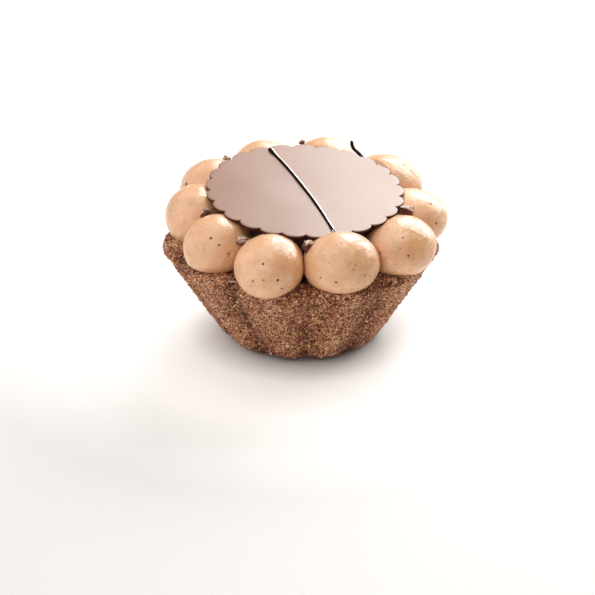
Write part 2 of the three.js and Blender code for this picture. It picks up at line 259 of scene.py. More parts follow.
def grains(points, size, seed):
    """Distance to the nearest of scattered grain centres, in cells, and that grain's random number."""
    p = np.asarray(points, float) / size
    base = np.floor(p).astype(np.int64)
    nearest = np.full(len(p), np.inf)
    number = np.zeros(len(p))
    for dx in (-1, 0, 1):
        for dy in (-1, 0, 1):
            for dz in (-1, 0, 1):
                cell = base + np.array([dx, dy, dz])
                jitter = np.stack([lattice(cell, seed + k) for k in range(3)], -1) * 0.4 + 0.5
                d = np.linalg.norm(cell + jitter - p, axis=1)
                closer = d < nearest
                nearest = np.where(closer, d, nearest)
                number = np.where(closer, lattice(cell, seed + 9), number)
    return nearest, number


# -------------------------------------------------------------------- meshes


def make_object(name, points, faces, material, smooth=True, attributes=None):
    mesh = bpy.data.meshes.new(name)
    mesh.from_pydata((np.asarray(points) * MM).tolist(), [], faces)
    mesh.update()
    mesh.polygons.foreach_set("use_smooth", [smooth] * len(mesh.polygons))
    for key, values in (attributes or {}).items():
        layer = mesh.attributes.new(key, "FLOAT", "POINT")
        layer.data.foreach_set("value", np.asarray(values, np.float32))
    mesh.materials.append(material)
    obj = bpy.data.objects.new(name, mesh)
    bpy.context.scene.collection.objects.link(obj)
    return obj


def full_turn(columns):
    return np.linspace(0, 2 * math.pi, columns, endpoint=False)


def around(radius, azimuth, z):
    """Points at a radius, an azimuth in radians and a height."""
    x, y = radius * np.sin(azimuth), -radius * np.cos(azimuth)
    return np.stack([x, y, z + 0 * x], -1)


def closed_faces(rows, columns):
    """Quads of a grid whose columns close round, row by row, and a face that closes each end."""
    faces = []
    for i in range(rows - 1):
        for j in range(columns):
            k = (j + 1) % columns
            faces.append((i * columns + j, i * columns + k, (i + 1) * columns + k, (i + 1) * columns + j))
    faces.append(tuple(range(columns))[::-1])
    faces.append(tuple((rows - 1) * columns + j for j in range(columns)))
    return faces


def joined(parts):
    """The points and faces of several meshes as one."""
    points, faces, start = [], [], 0
    for part_points, part_faces in parts:
        faces.extend(tuple(i + start for i in face) for face in part_faces)
        points.append(part_points)
        start += len(part_points)
    return np.concatenate(points), faces


def grid_normals(points, rows, columns):
    """Outward normals of a closed ring grid, from its neighbours."""
    grid = points.reshape(rows, columns, 3)
    across = np.roll(grid, -1, 1) - np.roll(grid, 1, 1)
    along = np.empty_like(grid)
    along[1:-1] = grid[2:] - grid[:-2]
    along[0] = grid[1] - grid[0]
    along[-1] = grid[-1] - grid[-2]
    normals = np.cross(across, along)
    normals /= np.linalg.norm(normals, axis=2, keepdims=True) + 1e-12
    return normals.reshape(-1, 3)


def smooth_path(corners, count):
    """Points along a Catmull-Rom curve through the corners, so many to a stretch."""
    c = np.array(corners, float)
    c = np.concatenate([[2 * c[0] - c[1]], c, [2 * c[-1] - c[-2]]])
    points = []
    stretches = len(c) - 3
    for k in range(stretches):
        before, start, end, after = c[k : k + 4]
        bend = 2 * before - 5 * start + 4 * end - after
        twist = 3 * start - before - 3 * end + after
        for t in np.linspace(0, 1, count, endpoint=k == stretches - 1):
            points.append(0.5 * (2 * start + (end - before) * t + bend * t * t + twist * t**3))
    return np.array(points)


def directions_along(path):
    along = np.gradient(path, axis=0)
    return along / np.linalg.norm(along, axis=1, keepdims=True)


# ----------------------------------------------------------------- materials

# The places of a Mix node's colours among its sockets, which share their names with others.
MIX_COLOUR_A = 6
MIX_COLOUR_B = 7
MIX_COLOUR_RESULT = 2


def srgb(red, green, blue):
    """The linear colour of an 8-bit one."""
    channels = [c / 255 for c in (red, green, blue)]
    return tuple(c / 12.92 if c <= 0.04045 else ((c + 0.055) / 1.055) ** 2.4 for c in channels)


class Nodes:
    """A short way to write a node material. Its textures run in millimetres."""

    def __init__(self, name):
        self.material = bpy.data.materials.new(name)
        self.material.use_nodes = True
        self.tree = self.material.node_tree
        self.shader = self.tree.nodes["Principled BSDF"]
        metres = self.add("ShaderNodeTexCoord").outputs["Object"]
        self.position = self.mapped(metres, (1 / MM, 1 / MM, 1 / MM))

    def add(self, kind, inputs=None, **settings):
        node = self.tree.nodes.new(kind)
        for key, value in settings.items():
            setattr(node, key, value)
        for key, value in (inputs or {}).items():
            self.put(node.inputs[key], value)
        return node

    def put(self, socket, value):
        if isinstance(value, bpy.types.NodeSocket):
            self.tree.links.new(value, socket)
        else:
            socket.default_value = value

    def mapped(self, vector, scale):
        return self.add("ShaderNodeMapping", {"Vector": vector, "Scale": scale}).outputs["Vector"]

    def noise(self, scale, detail=2.0, rough=0.5, vector=None, distortion=0.0):
        inputs = {"Vector": vector or self.position, "Scale": scale, "Detail": detail,
                  "Roughness": rough, "Distortion": distortion}
        return self.add("ShaderNodeTexNoise", inputs).outputs["Fac"]

    def voronoi(self, scale, output="Distance", feature="F1"):
        inputs = {"Vector": self.position, "Scale": scale}
        return self.add("ShaderNodeTexVoronoi", inputs, feature=feature).outputs[output]

    def channel(self, colour, name):
        return self.add("ShaderNodeSeparateColor", {"Color": colour}).outputs[name]

    def upward(self, vector):
        return self.add("ShaderNodeSeparateXYZ", {"Vector": vector}).outputs["Z"]

    def attribute(self, name):
        return self.add("ShaderNodeAttribute", attribute_name=name).outputs["Fac"]

    def ramp(self, value, stops):
        node = self.add("ShaderNodeValToRGB", {"Fac": value})
        elements = node.color_ramp.elements
        while len(elements) < len(stops):
            elements.new(0.5)
        for element, (at, colour) in zip(elements, stops):
            element.position = at
            element.color = (*colour, 1)
        return node.outputs["Color"]

    def grey(self, value, low, high, out_low=0.0, out_high=1.0):
        """The value from low to high, as out_low to out_high, and no further."""
        inputs = {"Value": value, "From Min": low, "From Max": high, "To Min": out_low, "To Max": out_high}
        return self.add("ShaderNodeMapRange", inputs).outputs["Result"]

    def math(self, operation, a, b):
        return self.add("ShaderNodeMath", {0: a, 1: b}, operation=operation).outputs["Value"]

    def plus(self, a, b):
        return self.math("ADD", a, b)

    def times(self, a, b):
        return self.math("MULTIPLY", a, b)

    def most(self, a, b):
        return self.math("MAXIMUM", a, b)

    def mix(self, factor, a, b, blend="MIX"):
        a, b = ((*colour, 1) if isinstance(colour, tuple) else colour for colour in (a, b))
        node = self.add("ShaderNodeMix", {"Factor": factor}, data_type="RGBA", blend_type=blend)
        self.put(node.inputs[MIX_COLOUR_A], a)
        self.put(node.inputs[MIX_COLOUR_B], b)
        return node.outputs[MIX_COLOUR_RESULT]

    def tinted(self, colour, tint):
        return self.mix(1.0, colour, tint, "MULTIPLY")

    def bump(self, height, distance, strength=1.0, normal=None):
        inputs = {"Height": height, "Distance": distance * MM, "Strength": strength}
        if normal is not None:
            inputs["Normal"] = normal
        return self.add("ShaderNodeBump", inputs).outputs["Normal"]

    def surface(self, **values):
        for key, value in values.items():
            self.put(self.shader.inputs[key.replace("_", " ")], value)
        return self.material


def crumb_material(name, loose=False):
    """Baked cocoa crumb: sandy grains, dark ones redder and pale ones yellower, with painted shade in the
    crevices, small pits, hollows, flute valleys and towards the foot, and painted light on the crests. A
    loose grain has one tone of its own, and no painted shade or light."""
    n = Nodes(name)
    sand = n.voronoi(SAND_SCALE, "Color")
    tone = n.attribute("tone") if loose else n.channel(n.voronoi(GRAIN_SCALE, "Color"), "Red")
    tone = n.plus(n.times(tone, 0.5), n.times(n.channel(sand, "Green"), 0.5))
    mottle = n.noise(0.42, 3, 0.6, distortion=0.6)
    patches = n.noise(0.11, 2, 0.5)
    tone = n.plus(tone, n.grey(mottle, 0.3, 0.7, -0.1, 0.1))
    tone = n.plus(tone, n.grey(patches, 0.3, 0.7, -0.06, 0.06))
    if not loose:
        # Painted shade: darker towards the foot.
        tone = n.plus(tone, n.grey(n.upward(n.position), 1, 11, -0.07, 0.02))
        # Painted shade in the crumb's hollows and the flute valleys, and painted light on the crests.
        tone = n.plus(tone, n.grey(n.attribute("relief"), -1.0, 0.5, -0.25, 0.09))
    colour = n.ramp(tone, [
        (0.1, srgb(60, 20, 8)),
        (0.3, srgb(120, 64, 36)),
        (0.5, srgb(180, 119, 80)),
        (0.7, srgb(230, 174, 132)),
        (0.9, srgb(255, 226, 192)),
    ])
    hue = n.ramp(n.noise(0.16, 2, 0.5), [(0.35, (1.0, 0.91, 0.93)), (0.65, (1.0, 0.97, 0.84))])
    colour = n.tinted(colour, hue)
    normal = n.bump(n.noise(5, 3, 0.7), 0.1, 0.7)
    if not loose:
        # Painted shade in the crevices between grains and in small pits.
        crevice_shade = n.grey(n.voronoi(GRAIN_SCALE, "Distance", "DISTANCE_TO_EDGE"), 0.06, 0.0)
        pits = n.grey(n.noise(1.7, 3, 0.7), 0.42, 0.3)
        colour = n.mix(n.most(n.times(crevice_shade, 0.4), n.times(pits, 0.7)), colour, srgb(60, 26, 14))
        domes = n.grey(n.voronoi(GRAIN_SCALE), 0.0, 0.8, 1.0, 0.0)
        normal = n.bump(domes, 0.3, 1.0, normal)
        normal = n.bump(n.noise(1.3, 4, 0.7), 0.36, 0.8, normal)
    rough = n.grey(n.channel(sand, "Blue"), 0, 1, 0.45, 0.95)
    return n.surface(Base_Color=colour, Roughness=rough, Normal=normal, Specular_IOR_Level=0.4)


def cream_material():
    """Piped chocolate cream: pale tan, satin, with patches of froth, small bubbles and pits; shade is painted
    into the bubbles and pits, under the disc and on the sides that face front right.
    """
    n = Nodes("cream")
    cloud = n.noise(0.22, 4, 0.55, distortion=0.8)
    colour = n.ramp(cloud, [
        (0.3, srgb(222, 168, 126)),
        (0.5, srgb(229, 178, 137)),
        (0.72, srgb(237, 190, 152)),
    ])
    froth = n.most(n.attribute("froth"), n.grey(n.noise(0.3, 2, 0.6, distortion=0.5), 0.52, 0.66))
    mottle = n.noise(2.2, 4, 0.65)
    colour = n.mix(n.times(n.grey(mottle, 0.45, 0.75, 0, 0.35), froth), colour, srgb(200, 142, 96))
    colour = n.mix(n.times(n.grey(mottle, 0.5, 0.3, 0, 0.4), froth), colour, srgb(246, 210, 172))

    bubbles = n.grey(n.voronoi(1.25), 0.17, 0.09)
    bubbles = n.times(bubbles, n.grey(n.noise(0.9, 1), 0.5, 0.58))
    bubbles = n.times(bubbles, n.most(froth, 0.25))
    # Painted shade in the small bubbles.
    colour = n.mix(n.times(bubbles, 0.65), colour, srgb(158, 100, 64))
    # Painted shade on the sides that face front right.
    colour = n.mix(n.attribute("browned"), colour, n.tinted(colour, (0.93, 0.87, 0.76)))
    # Painted shade under the disc's edge.
    colour = n.mix(n.attribute("under"), colour, n.tinted(colour, (0.82, 0.64, 0.52)))
    # Painted shade in the pits, which also lose their gloss.
    pit = n.attribute("pit")
    colour = n.mix(pit, colour, srgb(24, 5, 2))

    normal = n.bump(n.noise(4.5, 3, 0.65), 0.06, 0.6)
    normal = n.bump(mottle, 0.35, n.grey(froth, 0, 1, 0.04, 0.9), normal)
    normal = n.bump(n.noise(0.6, 3, 0.5, distortion=1.0), 0.4, 0.2, normal)
    streaks = n.noise(1.0, 3, 0.6, vector=n.mapped(n.position, (0.22, 0.22, 2.9)), distortion=0.3)
    normal = n.bump(streaks, 0.25, n.grey(n.noise(0.17, 1), 0.42, 0.58, 0.05, 0.8), normal)
    normal = n.bump(n.math("SUBTRACT", 1.0, bubbles), 0.25, 0.9, normal)
    rough = n.plus(n.grey(mottle, 0.3, 0.7, 0.2, 0.27), n.times(froth, 0.1))
    return n.surface(
        Base_Color=colour,
        Roughness=n.plus(rough, n.times(pit, 0.6)),
        Normal=normal,
        Subsurface_Weight=0.12,
        Subsurface_Radius=(0.9, 0.5, 0.3),
        Subsurface_Scale=0.7 * MM,
        Specular_IOR_Level=n.grey(pit, 0, 1, 0.8, 0.05),
    )


def filling_material():
    """Dark chocolate filling, a little uneven."""
    n = Nodes("filling")
    cloud = n.noise(0.5, 4, 0.6)
    colour = n.ramp(cloud, [(0.3, srgb(118, 50, 28)), (0.7, srgb(152, 76, 44))])
    normal = n.bump(cloud, 0.4, 0.5)
    return n.surface(Base_Color=colour, Roughness=n.grey(cloud, 0.3, 0.7, 0.5, 0.7), Normal=normal)


def disc_material():
    """Tempered milk chocolate: smooth and glossy above; duller on its broken edge and underside, which are
    also painted darker as shade.
    """
    n = Nodes("chocolate")
    colour = n.ramp(n.noise(0.06, 2, 0.5), [(0.3, srgb(144, 108, 88)), (0.7, srgb(150, 114, 94))])
    edge = n.attribute("edge")
    fine = n.noise(2.0, 3, 0.6)
    # The broken edge and the underside are duller, and painted darker as shade.
    return n.surface(
        Base_Color=n.mix(edge, colour, srgb(70, 28, 18)),
        Roughness=n.plus(n.grey(fine, 0.3, 0.7, 0.28, 0.29), n.times(edge, 0.3)),
        Normal=n.bump(n.noise(0.25, 2), 0.06, 0.3, n.bump(fine, 0.002, 0.3)),
        Specular_IOR_Level=n.grey(edge, 0, 1, 0.54, 0.2),
    )


def thread_material():
    """Dark chocolate, almost black and dull, but for the thread's right side, which is glossy and painted
    pale as a highlight.
    """
    n = Nodes("thread")
    fine = n.noise(1.5, 2)
    flank = n.attribute("flank")
    colour = n.ramp(fine, [(0.3, srgb(20, 8, 5)), (0.7, srgb(34, 15, 10))])
    # The right side is painted pale as a painted highlight, and made glossier.
    gloss = n.grey(flank, 0.25, 0.55)
    return n.surface(
        Base_Color=n.mix(n.grey(flank, 0.45, 0.8), colour, srgb(248, 236, 226)),
        Roughness=n.grey(gloss, 0, 1, 0.5, 0.15),
        Normal=n.bump(fine, 0.02, 0.3),
        Specular_IOR_Level=n.grey(gloss, 0, 1, 0.05, 1.0),
        Coat_Weight=gloss,
        Coat_Roughness=0.1,
        Coat_IOR=2.0,
    )


def nib_material():
    """Roasted cocoa nib: red brown, with a painted sheen that makes its upward facets pale."""
    n = Nodes("nibs")
    cloud = n.noise(0.9, 4, 0.65)
    colour = n.ramp(cloud, [(0.3, srgb(54, 20, 12)), (0.5, srgb(100, 46, 32)), (0.75, srgb(160, 94, 74))])
    up = n.upward(n.add("ShaderNodeNewGeometry").outputs["Normal"])
    # Painted sheen: upward facets are painted pale.
    painted_sheen = n.times(n.grey(up, 0.3, 0.7), n.grey(n.noise(1.6, 3), 0.26, 0.46))
    colour = n.mix(n.times(painted_sheen, 0.88), colour, srgb(236, 206, 184))
    normal = n.bump(n.noise(2.4, 4, 0.7), 0.3, 0.8)
    return n.surface(Base_Color=colour, Roughness=n.grey(cloud, 0.3, 0.7, 0.34, 0.6), Normal=normal)


# --------------------------------------------------------------------- shell


def outer_radius(z):
    """The wall's radius at a height, between the flutes' crests and valleys."""
    t = np.clip(z / (SHELL_HEIGHT - RIM_ROUNDING), 0, 1)
    wall = BASE_RADIUS + (RIM_RADIUS - BASE_RADIUS) * t
    inside = np.clip(1 - z / BASE_FILLET, 0, 1)
    return wall - BASE_FILLET * (1 - np.sqrt(1 - inside * inside))


def crest_at(azimuth):
    """0 in a flute's valley and 1 on its crest."""
    return np.abs(np.sin(FLUTES * (azimuth - math.radians(FLUTE_VALLEY_AZIMUTH)) / 2))


def flute(azimuth, z):
    t = np.clip(z / SHELL_HEIGHT, 0, 1)
    depth = FLUTE_DEPTH_BASE + (FLUTE_DEPTH_RIM - FLUTE_DEPTH_BASE) * t
    return depth * (crest_at(azimuth) ** CREST_BREADTH - (1 - FLUTE_CREST_SHARE))


def rim_rise(azimuth):
    climb = RIM_LEFT_RISE * ((1 - np.sin(azimuth)) / 2) ** 2
    wave = RIM_WAVE * (0.6 * np.sin(3 * azimuth + 0.8) + 0.4 * np.sin(7 * azimuth + 2.1))
    return climb + wave


def follow_rim(points):
    """Lifts and shifts the points of a level shell to follow its uneven rim."""
    x, y, z = points.T
    height = z / SHELL_HEIGHT
    outward = np.hypot(x, y) / RIM_RADIUS
    rise = outward * height**2 * rim_rise(np.arctan2(x, -y))
    return np.stack([x + RIM_SHIFT * height, y, z + rise], -1)


def shell_section():
    """The shell's outline from the middle of its underside: radius, height, share of flutes and of relief."""
    section = [(CENTRE_RADIUS, 0, 0, 0)]
    for r in np.linspace(1.5, BASE_RADIUS - BASE_FILLET - 0.6, 14):
        section.append((r, 0, r / BASE_RADIUS * 0.6, 0.25))
    for step in range(9):  # the rounding at the foot
        z = BASE_FILLET * (1 - math.cos(math.radians(10 * step + 4)))
        section.append((outer_radius(z), z, 1, 0.35 + 0.65 * step / 8))
    top = SHELL_HEIGHT - RIM_ROUNDING
    for z in np.linspace(z, top, SHELL_WALL_ROWS)[1:]:
        section.append((outer_radius(z), z, 1, 1))
    for step in range(1, 10):  # the rounding of the rim
        angle = math.radians(10 * step)
        inset = RIM_ROUNDING * (1 - math.cos(angle))
        section.append((RIM_RADIUS - inset, top + RIM_ROUNDING * math.sin(angle), 1 - 0.5 * step / 9, 1))
    inner = RIM_RADIUS - WALL_THICKNESS
    for step, r in enumerate(np.linspace(RIM_RADIUS - RIM_ROUNDING, inner + 0.6, 18)[1:]):
        section.append((r, SHELL_HEIGHT, 0.5 * (1 - step / 16), 1))
    for z in (SHELL_HEIGHT - 0.6, SHELL_HEIGHT - 2, 18, 12, FLOOR_THICKNESS + 1.5):
        section.append((outer_radius(z) - WALL_THICKNESS, z, 0, 0.3))
    section.append((outer_radius(FLOOR_THICKNESS) - WALL_THICKNESS - 1.5, FLOOR_THICKNESS, 0, 0))
    section.append((CENTRE_RADIUS, FLOOR_THICKNESS, 0, 0))
    return np.array(section, float)


def crumb_relief(points):
    """How far coarse crumb stands out of the plain wall, in millimetres."""
    lumps = 0.2 * noise(points, 7, 3) + 0.2 * noise(points, 2.6, 5) + 0.16 * noise(points, 1.2, 8)
    near, number = grains(points, 1.1, 21)
    stones = np.clip(1 - near / 0.62, 0, 1) * (0.3 + 0.4 * number)
    hollow = -0.4 * np.clip(noise(points, 1.9, 31) - 0.3, 0, 1) / 0.7
    return lumps + stones + hollow


def build_shell(material):
    section = shell_section()
    rows, columns = len(section), SHELL_COLUMNS
    azimuth = full_turn(columns)
    r, z = section[:, :1], section[:, 1:2]
    radius = r + section[:, 2:3] * flute(azimuth, z) * np.clip(r / 8, 0, 1)
    points = follow_rim(around(radius, azimuth, z).reshape(-1, 3))
    share = np.repeat(section[:, 3], columns)
    relief = crumb_relief(points)
    points = points + grid_normals(points, rows, columns) * (relief * share)[:, None]
    underside = np.repeat(section[:, 1] < UNDERSIDE_BELOW, columns)
    above = np.maximum(points[:, 2], LEAST_HEIGHT)
    points[:, 2] = np.where(underside, np.abs(relief) * UNDERSIDE_RELIEF, above)
    # The relief attribute is low in the crumb's hollows and the flute valleys; the crumb material paints
    # shade there and light on the crests.
    crest = crest_at(azimuth)
    valley = 1 - 0.5 * crest - 0.5 * crest**2
    attributes = {"relief": relief * share - np.tile(valley, rows)}
    return make_object("shell_crumb", points, closed_faces(rows, columns), material, attributes=attributes)


def wall_point(azimuth, z):
    return follow_rim(around(outer_radius(z) + flute(azimuth, z), azimuth, z))


def icosahedron():
    t = (1 + 5**0.5) / 2
    v = np.array([
        (-1, t, 0), (1, t, 0), (-1, -t, 0), (1, -t, 0), (0, -1, t), (0, 1, t),
        (0, -1, -t), (0, 1, -t), (t, 0, -1), (t, 0, 1), (-t, 0, -1), (-t, 0, 1),
    ])
    f = [
        (0, 11, 5), (0, 5, 1), (0, 1, 7), (0, 7, 10), (0, 10, 11), (1, 5, 9), (5, 11, 4),
        (11, 10, 2), (10, 7, 6), (7, 1, 8), (3, 9, 4), (3, 4, 2), (3, 2, 6), (3, 6, 8),
        (3, 8, 9), (4, 9, 5), (2, 4, 11), (6, 2, 10), (8, 6, 7), (9, 8, 1),
    ]
    return v / np.linalg.norm(v[0]), np.array(f)


def octahedron():
    v = np.array([(1, 0, 0), (-1, 0, 0), (0, 1, 0), (0, -1, 0), (0, 0, 1), (0, 0, -1)], float)
    f = [(0, 2, 4), (2, 1, 4), (1, 3, 4), (3, 0, 4), (2, 0, 5), (1, 2, 5), (3, 1, 5), (0, 3, 5)]
    return v, np.array(f)


def build_grains(name, material, shape, count, radius, spread, limits, seed):
    """Ragged grains that stand out of the wall and the rim, each with a tone of its own."""
    rng = np.random.default_rng(seed)
    azimuth = rng.uniform(0, 2 * math.pi, count)
    z = SHELL_HEIGHT * np.sqrt(rng.uniform(0.004, 1, count))
    on_rim = rng.uniform(0, 1, count) < GRAINS_ON_RIM
    on_wall = wall_point(azimuth, np.minimum(z, SHELL_HEIGHT - RIM_ROUNDING))
    rim_radius = rng.uniform(RIM_RADIUS - WALL_THICKNESS + 1, RIM_RADIUS - 1.5, count)
    rim_point = follow_rim(around(rim_radius, azimuth, SHELL_HEIGHT))
    centre = np.where(on_rim[:, None], rim_point, on_wall)
    size = np.clip(radius * np.exp(rng.normal(0, spread, count)), *limits)
    v, f = shape
    corners = len(v)
    ragged = v * (1 + rng.uniform(-0.25, 0.25, (count, corners, 1)))
    ragged = ragged * rng.uniform(0.6, 1.3, (count, 1, 3))
    turn = np.linalg.qr(rng.normal(size=(count, 3, 3)))[0]
    points = np.einsum("nvi,nij->nvj", ragged * size[:, None, None], turn) + centre[:, None]
    points[:, :, 2] = np.maximum(points[:, :, 2], LEAST_HEIGHT)
    faces = (f + corners * np.arange(count)[:, None, None]).reshape(-1, 3).tolist()
    tone = np.repeat(rng.uniform(0, 1, count) ** 0.8, corners)
    return make_object(name, points.reshape(-1, 3), faces, material, smooth=False, attributes={"tone": tone})


# ------------------------------------------------------------------- filling


def build_filling(material):
    """The filling: plain sides, and a slightly domed and uneven top."""
    edge = SHELL_HEIGHT - FILLING_DROP
    bottom = FLOOR_THICKNESS + GAP
    section = [(CENTRE_RADIUS, bottom), (outer_radius(FLOOR_THICKNESS) - WALL_THICKNESS - 2, bottom)]
    for z in (7, 14, 20, edge - 0.5):
        section.append((outer_radius(z) - WALL_THICKNESS - FILLING_GAP, z))
    side_rows = len(section)
    rim = outer_radius(edge) - WALL_THICKNESS - FILLING_GAP
    for share in np.linspace(0.99, 0.01, 60):
        section.append((rim * share, edge + FILLING_DOME * (1 - share * share)))
    section = np.array(section, float)
    rows, columns = len(section), FILLING_COLUMNS
    points = around(section[:, :1], full_turn(columns), section[:, 1:]).reshape(-1, 3)
    top = np.repeat(np.arange(rows) >= side_rows, columns)
    points[:, 2] += top * (0.12 * noise(points, 3, 41) + 0.06 * noise(points, 1, 43) - 0.1)
    return make_object("filling_top", follow_rim(points), closed_faces(rows, columns), material)


# --------------------------------------------------------------------- cream


def unit(turn, tilt):
    a, b = math.radians(turn), math.radians(tilt)
    return np.array([math.sin(a) * math.cos(b), -math.cos(a) * math.cos(b), math.sin(b)])


def angle_from(direction, sphere):
    """How far each point of a sphere is from a direction, in radians."""
    return np.arccos(np.clip(sphere @ direction, -1, 1))


def ball_frame(ball):
    """A ball's centre, its directions along and across the ring, and half its width, depth and height."""
    half = ball.tall / SETTLE.get(ball.name, CREAM_SETTLE)
    a = math.radians(ball.azimuth)
    height = SHELL_HEIGHT + GAP + ball.tall - half
    centre = np.array([ball.reach * math.sin(a), -ball.reach * math.cos(a), height])
    t = math.radians(ball.azimuth + ball.turn)
    along = np.array([math.cos(t), math.sin(t), 0])
    inward = np.array([-math.sin(t), math.cos(t), 0])
    squeeze = SQUEEZE.get(ball.name, BALL_SQUEEZE)
    return centre, along, inward, np.array([ball.width / 2 + squeeze, ball.depth / 2, half])


def ball_marks(name, rng):
    """A ball's pits, as directions and radii, and its patches of froth, as directions and reaches."""
    pits = [(unit(turn, tilt), radius) for on, turn, tilt, radius in PITS if on == name]
    for _ in range(SMALL_PITS):
        pits.append((unit(rng.uniform(-180, 180), rng.uniform(-25, 80)), rng.uniform(0.09, 0.18)))
    patches = [(unit(turn, tilt), reach) for on, turn, tilt, reach in FROTH if on == name]
    patches.append((unit(rng.uniform(90, 270), rng.uniform(0, 50)), rng.uniform(14, 24)))
    for middle, reach in patches:
        for _ in range(FROTH_PITS):
            direction = middle + rng.normal(0, 0.45 * math.radians(reach), 3)
            pits.append((direction / np.linalg.norm(direction), rng.uniform(0.06, 0.13)))
    return pits, patches


def pitted_sphere(pits, size):
    """Points and triangles of a sphere of radius 1, finer at the pits of a ball of that size."""
    bm = bmesh.new()
    bmesh.ops.create_icosphere(bm, subdivisions=6, radius=1)
    directions = np.array([direction for direction, _ in pits])
    for margin, reach in ((0.4, 2.4), (0.05, 1.9)):
        middles = np.array([(e.verts[0].co + e.verts[1].co)[:] for e in bm.edges])
        middles /= np.linalg.norm(middles, axis=1, keepdims=True)
        limits = np.cos([(radius * reach + margin) / size for _, radius in pits])
        near = (middles @ directions.T > limits).any(1)
        bm.edges.ensure_lookup_table()
        chosen = [bm.edges[i] for i in np.flatnonzero(near)]
        bmesh.ops.subdivide_edges(bm, edges=chosen, cuts=1, use_grid_fill=True)
    bmesh.ops.triangulate(bm, faces=bm.faces[:])
    bm.verts.index_update()
    sphere = np.array([v.co[:] for v in bm.verts])
    faces = [tuple(v.index for v in f.verts) for f in bm.faces]
    bm.free()
    return sphere / np.linalg.norm(sphere, axis=1, keepdims=True), faces


def whole_ball(index, sphere, rng):
    """How far a ball reaches in each direction: lumpy, with the sweep of the piping and its folds."""
    ball = BALLS[index]
    centre, along, inward, half = ball_frame(ball)
    size = half.mean()
    local = np.stack([sphere @ along, sphere @ inward, sphere[:, 2]], -1)
    at = sphere * size + centre
    reach = 1 / np.sqrt(((local / half) ** 2).sum(1))
    reach = reach * (1.004 + 0.013 * noise(at, 7, 61) + 0.008 * noise(at, 2.4, 63))
    across = angle_from(unit(rng.uniform(-180, 180), rng.uniform(10, 50)), sphere) * size
    sweep = np.stack([across, noise(at, 9, 65) * 1.5, np.full(len(across), 3.0 * index)], -1)
    fade = np.clip(noise(at, 6, 67) + 0.35, 0, 1)
    reach += (0.07 * noise(sweep, 1.5, 69) + 0.035 * noise(sweep, 0.6, 70)) * fade
    for on, pole_turn, pole_tilt, opening, turn, tilt, length, height in FOLDS:
        if on != ball.name:
            continue
        beyond = (angle_from(unit(pole_turn, pole_tilt), sphere) - math.radians(opening)) * size
        lip = np.where(beyond < 0, np.exp(beyond / FOLD_GENTLE_SIDE), np.exp(-beyond / FOLD_STEEP_SIDE))
        far = np.degrees(angle_from(unit(turn, tilt), sphere)) / length
        reach += height * lip * np.clip(1 - far**2, 0, 1)
    return reach


def pit_relief(sphere, size, pits):
    """How far the pits change a ball's reach, each with a low lip, and how much shade is painted into them.
    """
    relief, dark = np.zeros(len(sphere)), np.zeros(len(sphere))
    for direction, radius in pits:
        d = angle_from(direction, sphere) * size / radius
        shallow = radius >= SHALLOW_PIT
        relief -= np.clip(1 - d**2, 0, 1) ** 0.7 * radius * (0.4 if shallow else 0.9)
        relief += 0.06 * radius * np.exp(-((d - 1.25) ** 2) / 0.08)
        shade = 0.35 if shallow else min(1, max(0.4, radius / 0.2))
        dark = np.maximum(dark, np.clip(1.15 - d, 0, 1) ** 0.5 * shade)
    return relief, dark


def keep_inside(points, normal, at, softness):
    """Presses what stands beyond a plane back to it, with a soft edge."""
    depth = (at - points) @ normal
    pressed = 0.5 * (depth + np.sqrt(depth**2 + softness**2))
    return points - normal * (pressed - depth)[:, None]


def press_on_neighbours(index, points):
    """Flattens a ball where it meets the next one on each side."""
    ball = BALLS[index]
    centre = ball_frame(ball)[0]
    for step in (1, -1):
        other = BALLS[(index + step) % len(BALLS)]
        to = ball_frame(other)[0]
        face = centre + (to - centre) * (ball.width / (ball.width + other.width))
        normal = to - centre
        normal[2] = 0
        normal /= np.linalg.norm(normal)
        points = keep_inside(points, normal, face - normal * 0.03, 0.25)
    return points


def seat_height(points):
    """The rim's surface under a point, and far below outside it."""
    x, y = points[:, 0], points[:, 1]
    r = np.hypot(x - RIM_SHIFT, y)
    azimuth = np.arctan2(x, -y)
    edge = RIM_RADIUS + FLUTE_CREST_SHARE * FLUTE_DEPTH_RIM
    over = np.clip((r - (edge - RIM_ROUNDING)) / RIM_ROUNDING, 0, 1)
    fall = RIM_ROUNDING * (1 - np.sqrt(1 - over**2)) + 4 * np.clip(r - edge, 0, 2)
    return SHELL_HEIGHT + 0.1 + rim_rise(azimuth) * np.clip(r / RIM_RADIUS, 0, 1) - fall


def press_on_rim(points):
    lift = seat_height(points) - points[:, 2]
    points[:, 2] += 0.5 * (lift + np.sqrt(lift**2 + 0.35**2)) * (lift > -1.5)
    return points


def press_under_disc(points):
    """Presses what would stand in the disc down under it, or out past its edge where that is nearer."""
    up = disc_axes()[2]
    from_disc = points - np.array(DISC_CENTRE)
    height = from_disc @ up
    flat = from_disc - np.outer(height, up)
    radial = np.linalg.norm(flat, axis=1)
    down = height + DISC_THICKNESS + CREAM_UNDER_DISC
    out = DISC_RADIUS + CREAM_BESIDE_DISC - radial
    within = (radial < DISC_RADIUS) & (down > 0)
    outwards = within & (out < down)
    points = points + np.where(outwards, out / np.maximum(radial, 1), 0)[:, None] * flat
    return points - np.where(within & ~outwards, down, 0)[:, None] * up


